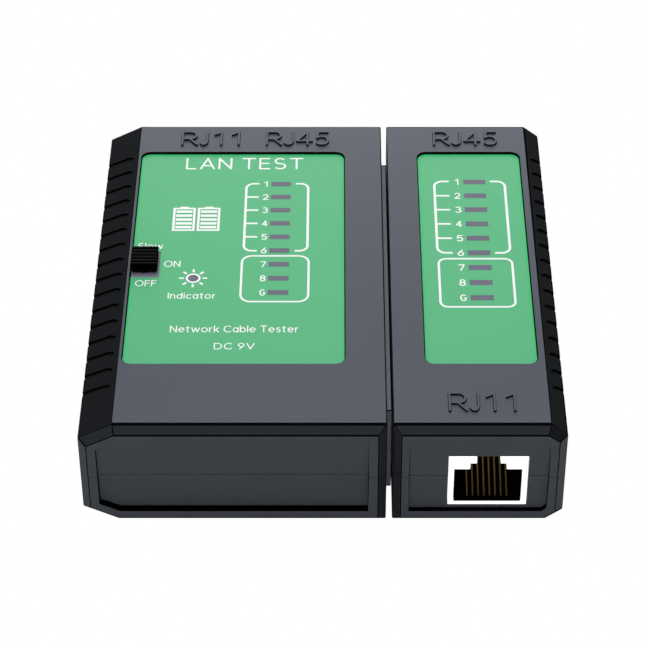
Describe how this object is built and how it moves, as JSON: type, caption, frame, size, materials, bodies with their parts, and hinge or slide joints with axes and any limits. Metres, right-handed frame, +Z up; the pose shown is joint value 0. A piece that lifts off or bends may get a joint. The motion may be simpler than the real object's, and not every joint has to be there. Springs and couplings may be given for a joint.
{
  "type": "network cable tester",
  "caption": "Pocket network cable tester: a battery-powered main unit with a rail-parked remote unit beside it, status lights, modular jacks at the ends and a slide switch.",
  "frame": {"origin": "on the table under the middle of the two units together", "axes": "+X from the main unit towards the remote unit, +Y towards the end with the main unit's jacks, +Z up out of the label side"},
  "size_m": [0.0944, 0.1, 0.0271],
  "materials": {
    "shell": "fine satin texture, charcoal grey ABS",
    "grip": "soft matte black elastomer with moulded grooves",
    "label": "green polycarbonate overlay, satin, white print",
    "led_lens": "unlit grey translucent lens, satin",
    "board": "green solder mask",
    "jack_white": "white moulded plastic, semi-gloss",
    "black_plastic": "black moulded plastic",
    "contact_gold": "gold flash on phosphor bronze",
    "screw_steel": "zinc-plated steel, satin",
    "battery_jacket": "printed metal jacket with plastic end",
    "lead_black": "black vinyl",
    "lead_red": "red vinyl"
  },
  "bodies": {
    "main_unit": {"battery": "battery_jacket", "battery_lead_black": "lead_black", "battery_lead_red": "lead_red", "battery_snap_connector": "lead_black", "counter_chip": "black_plastic", "main_bottom_shell": "shell", "main_case_screw_1": "screw_steel", "main_case_screw_2": "screw_steel", "main_case_screw_3": "screw_steel", "main_case_screw_4": "screw_steel", "main_circuit_board": "board", "main_label_panel": "label", "main_led_1": "led_lens", "main_led_2": "led_lens", "main_led_3": "led_lens", "main_led_4": "led_lens", "main_led_5": "led_lens", "main_led_6": "led_lens", "main_led_7": "led_lens", "main_led_8": "led_lens", "main_led_g": "led_lens", "main_rj11_jack_contacts": "contact_gold", "main_rj11_jack_housing": "jack_white", "main_rj11_jack_insert": "black_plastic", "main_rj45_jack_contacts": "contact_gold", "main_rj45_jack_housing": "jack_white", "main_rj45_jack_insert": "black_plastic", "main_side_grip": "grip", "main_top_shell": "shell", "power_led": "led_lens", "switch_body": "led_lens", "timer_chip": "black_plastic"},
    "remote_unit": {"remote_bottom_shell": "shell", "remote_case_screw_1": "screw_steel", "remote_case_screw_2": "screw_steel", "remote_circuit_board": "board", "remote_front_jack_contacts": "contact_gold", "remote_front_jack_housing": "jack_white", "remote_front_jack_insert": "black_plastic", "remote_label_panel": "label", "remote_led_1": "led_lens", "remote_led_2": "led_lens", "remote_led_3": "led_lens", "remote_led_4": "led_lens", "remote_led_5": "led_lens", "remote_led_6": "led_lens", "remote_led_7": "led_lens", "remote_led_8": "led_lens", "remote_led_g": "led_lens", "remote_rear_jack_contacts": "contact_gold", "remote_rear_jack_housing": "jack_white", "remote_rear_jack_insert": "black_plastic", "remote_side_grip": "grip", "remote_top_shell": "shell"},
    "power_knob": {"switch_knob": "black_plastic"},
    "door": {"battery_door": "shell"}
  },
  "joints": [
    {"name": "remote_rail_slide", "type": "slide", "parent": "main_unit", "child": "remote_unit", "axis": [0, -1, 0], "range_m": [0, 0.092]},
    {"name": "power_switch_slide", "type": "slide", "parent": "main_unit", "child": "power_knob", "axis": [0, 1, 0], "range_m": [-0.0014, 0.0014]},
    {"name": "battery_door_tilt", "type": "hinge", "parent": "main_unit", "child": "door", "pos_m": [-0.01515, -0.04675, 0.0002], "axis": [-1, 0, 0], "range_deg": [0, 60]}
  ]
}
